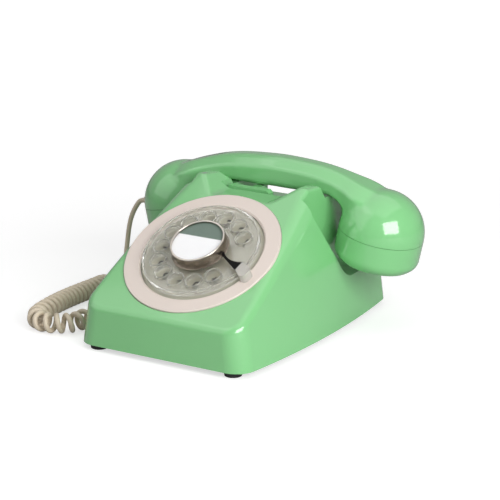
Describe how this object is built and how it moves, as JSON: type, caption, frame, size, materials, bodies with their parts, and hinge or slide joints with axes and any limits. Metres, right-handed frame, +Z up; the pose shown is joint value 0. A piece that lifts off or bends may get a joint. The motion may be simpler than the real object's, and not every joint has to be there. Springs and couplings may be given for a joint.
{
  "type": "rotary telephone",
  "caption": "Desk telephone with a sloping case, a clear finger wheel on a pale ring, a domed handset across a horned cradle and a curly cord.",
  "frame": {"origin": "on the floor, under the middle of the case", "axes": "+X along the handset to the right, +Y to the rear, +Z up"},
  "size_m": [0.2438, 0.21, 0.11],
  "materials": {
    "case_plastic": "polished, mint green",
    "foot_rubber": "matt",
    "dark_plastic": "matt",
    "ring_plastic": "satin, pale cream",
    "plate_paint": "satin, with printed numbers",
    "clear_plastic": "clear and polished",
    "bright_metal": "polished",
    "card": "printed card",
    "stop_plastic": "polished black",
    "steel": "bright",
    "brass": "turned",
    "board": "laminate",
    "component": "moulded",
    "cord_plastic": "satin, beige"
  },
  "bodies": {
    "case": {"base_plate": "dark_plastic", "base_screws": "steel", "bell_left": "brass", "bell_right": "brass", "bell_screws": "steel", "board_components": "component", "case_shell": "case_plastic", "circuit_board": "board", "cord_plug": "clear_plastic", "dial_back_plate": "steel", "dial_bush": "brass", "dial_frame": "steel", "dial_ring": "ring_plastic", "dial_screws": "steel", "finger_stop": "stop_plastic", "foot_front_left": "foot_rubber", "foot_front_right": "foot_rubber", "foot_rear_left": "foot_rubber", "foot_rear_right": "foot_rubber", "gong_posts": "steel", "handset_cord": "cord_plastic", "handset_socket": "dark_plastic", "hook_bracket": "steel", "hook_contacts": "dark_plastic", "hook_pin": "steel", "line_socket": "dark_plastic", "number_plate": "plate_paint", "pulse_contacts": "dark_plastic", "ringer_coils": "component", "ringer_frame": "steel", "stop_bracket": "clear_plastic"},
    "handset": {"handset_body": "case_plastic", "ear_cap": "case_plastic", "mouth_cap": "case_plastic", "receiver_capsule": "component", "microphone_capsule": "component", "cord_grommet": "cord_plastic"},
    "hook_bar": {"hook_bar": "case_plastic"},
    "hook_lever": {"hook_lever": "steel"},
    "dial": {"finger_wheel": "clear_plastic", "hub_cup": "bright_metal", "hub_card": "card", "hub_lens": "clear_plastic", "hub_ring": "bright_metal", "hub_screw": "steel", "dial_spindle": "steel", "main_gear": "brass", "spring_drum": "brass"},
    "pulse_shaft": {"pulse_shaft": "brass"},
    "governor": {"governor_spindle": "brass", "governor_weights": "brass"},
    "clapper": {"clapper": "steel"}
  },
  "joints": [
    {"name": "handset_lift", "type": "slide", "parent": "case", "child": "handset", "axis": [0, 0, 1], "range_m": [0, 0.1], "deforming": ["handset_cord"]},
    {"name": "hook_rise", "type": "slide", "parent": "case", "child": "hook_bar", "axis": [0, 0, 1], "range_m": [0, 0.004]},
    {"name": "hook_lever_turn", "type": "hinge", "parent": "case", "child": "hook_lever", "pos_m": [-0.01, 0.038, 0.058], "axis": [-1, 0, 0], "range_deg": [0, 11.5]},
    {"name": "dial_turn", "type": "hinge", "parent": "case", "child": "dial", "pos_m": [0, -0.0515, 0.063], "axis": [0, 0.518, -0.8554], "range_deg": [0, 325], "stiffness_Nm_per_rad": 0.03, "springref_deg": -57.3},
    {"name": "pulse_turn", "type": "hinge", "parent": "case", "child": "pulse_shaft", "pos_m": [-0.00586, -0.01271, 0.06311], "axis": [0, 0.518, -0.8554], "range_deg": [-1310, 10]},
    {"name": "governor_turn", "type": "hinge", "parent": "case", "child": "governor", "pos_m": [-0.02095, -0.0161, 0.06106], "axis": [0, 0.518, -0.8554], "range_deg": [-10, 4343.33]},
    {"name": "clapper_swing", "type": "hinge", "parent": "case", "child": "clapper", "pos_m": [0, 0.032, 0.018], "axis": [0, 0, 1], "range_deg": [-3.2, 3.2], "stiffness_Nm_per_rad": 0.004}
  ],
  "couplings": [
    {"joint": "hook_rise", "follows": "handset_lift", "ratio": 0.04},
    {"joint": "hook_lever_turn", "follows": "handset_lift", "rad_per_m": 2.0071},
    {"joint": "pulse_turn", "follows": "dial_turn", "ratio": -4},
    {"joint": "governor_turn", "follows": "dial_turn", "ratio": 13.333}
  ]
}
